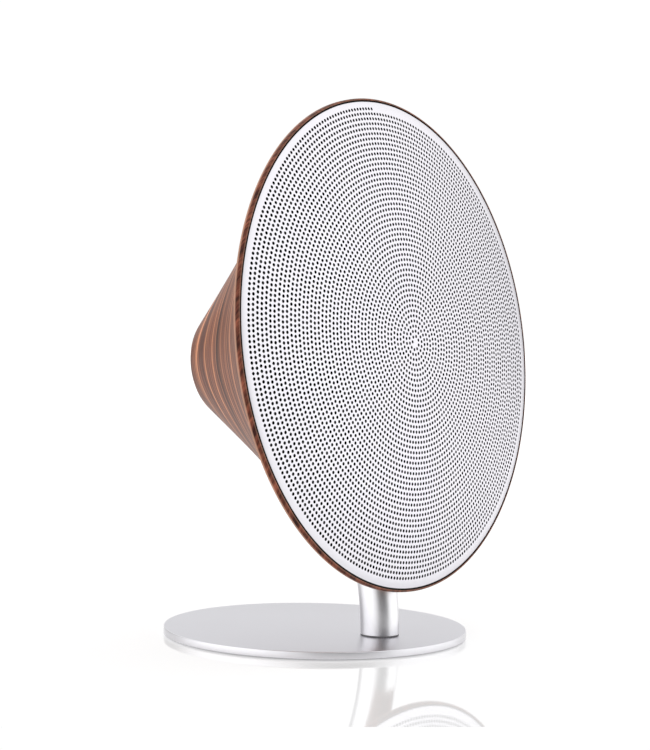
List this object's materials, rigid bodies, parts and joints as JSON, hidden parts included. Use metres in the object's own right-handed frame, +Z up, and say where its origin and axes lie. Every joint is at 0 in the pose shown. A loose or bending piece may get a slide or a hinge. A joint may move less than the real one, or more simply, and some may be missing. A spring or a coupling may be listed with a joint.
{
  "type": "horn loudspeaker",
  "caption": "Table loudspeaker shaped like a phonograph horn: flared wood-finish horn, domed perforated grille, curved post, round base and keys at the back.",
  "frame": {"origin": "on the table, at the centre of the round base", "axes": "+Z up; the grille faces -Y and leans back 7.2 degrees; X across, the object is symmetric about X = 0"},
  "size_m": [0.2312, 0.146, 0.2561],
  "materials": {
    "wood_shell": "satin wood grain, brown with dark streaks",
    "satin_aluminium": "fine satin, silver",
    "black_plastic": "fine moulded texture",
    "grille_cloth": "open acoustic weave",
    "black_rubber": "matt",
    "button_rubber": "matt, soft touch",
    "plated_steel": "zinc plated",
    "ferrite": "dark grey sintered",
    "cone_paper": "pressed pulp, black",
    "spider_cloth": "resin-treated cloth",
    "coil_former": "smooth",
    "copper_wire": "enamelled copper",
    "dome_fabric": "coated silk",
    "circuit_board": "green solder mask",
    "cell_wrap": "blue shrink wrap",
    "lead_sleeve": "red sleeve",
    "clear_lens": "clear, frosted inside"
  },
  "bodies": {
    "stand_and_horn": {"horn_shell": "wood_shell", "grille": "satin_aluminium", "base_plate": "satin_aluminium", "post": "satin_aluminium", "grille_ring": "black_plastic", "baffle": "black_plastic", "tweeter_frame": "black_plastic", "rear_panel": "black_plastic", "battery_holder": "black_plastic", "audio_socket": "black_plastic", "acoustic_cloth": "grille_cloth", "foot_pad": "black_rubber", "post_gasket": "black_rubber", "woofer_surround": "black_rubber", "woofer_basket": "plated_steel", "woofer_top_plate": "plated_steel", "woofer_yoke": "plated_steel", "tweeter_magnet": "plated_steel", "charging_socket": "plated_steel", "baffle_screw_1": "plated_steel", "baffle_screw_2": "plated_steel", "baffle_screw_3": "plated_steel", "baffle_screw_4": "plated_steel", "woofer_screw_1": "plated_steel", "woofer_screw_2": "plated_steel", "woofer_screw_3": "plated_steel", "woofer_screw_4": "plated_steel", "tweeter_screw_1": "plated_steel", "tweeter_screw_2": "plated_steel", "board_screw_1": "plated_steel", "board_screw_2": "plated_steel", "board_screw_3": "plated_steel", "control_screw_1": "plated_steel", "control_screw_2": "plated_steel", "post_bolt": "plated_steel", "post_dowel": "plated_steel", "horn_washer": "plated_steel", "horn_bolt": "plated_steel", "woofer_magnet": "ferrite", "woofer_spider": "spider_cloth", "main_board": "circuit_board", "control_board": "circuit_board", "battery_cell_1": "cell_wrap", "battery_cell_2": "cell_wrap", "woofer_lead": "lead_sleeve", "tweeter_lead": "lead_sleeve", "control_lead": "lead_sleeve", "battery_lead": "lead_sleeve", "status_lens": "clear_lens"},
    "woofer_drive": {"woofer_cone": "cone_paper", "woofer_dust_cap": "cone_paper", "woofer_coil_former": "coil_former", "woofer_voice_coil": "copper_wire"},
    "tweeter_drive": {"tweeter_dome": "dome_fabric"},
    "power_key": {"power_button": "button_rubber"},
    "volume_up_key": {"volume_up_button": "button_rubber"},
    "pairing_key": {"pairing_button": "button_rubber"},
    "volume_down_key": {"volume_down_button": "button_rubber"}
  },
  "joints": [
    {"name": "woofer_stroke", "type": "slide", "parent": "stand_and_horn", "child": "woofer_drive", "axis": [0, -0.9921, 0.1253], "range_m": [-0.003, 0.003], "stiffness_N_per_m": 1500},
    {"name": "tweeter_stroke", "type": "slide", "parent": "stand_and_horn", "child": "tweeter_drive", "axis": [0, -0.9921, 0.1253], "range_m": [-0.0003, 0.0003], "stiffness_N_per_m": 2000},
    {"name": "power_press", "type": "slide", "parent": "stand_and_horn", "child": "power_key", "axis": [0, -0.9921, 0.1253], "range_m": [0, 0.0008], "stiffness_N_per_m": 400},
    {"name": "volume_up_press", "type": "slide", "parent": "stand_and_horn", "child": "volume_up_key", "axis": [0, -0.9921, 0.1253], "range_m": [0, 0.0008], "stiffness_N_per_m": 400},
    {"name": "pairing_press", "type": "slide", "parent": "stand_and_horn", "child": "pairing_key", "axis": [0, -0.9921, 0.1253], "range_m": [0, 0.0008], "stiffness_N_per_m": 400},
    {"name": "volume_down_press", "type": "slide", "parent": "stand_and_horn", "child": "volume_down_key", "axis": [0, -0.9921, 0.1253], "range_m": [0, 0.0008], "stiffness_N_per_m": 400}
  ]
}
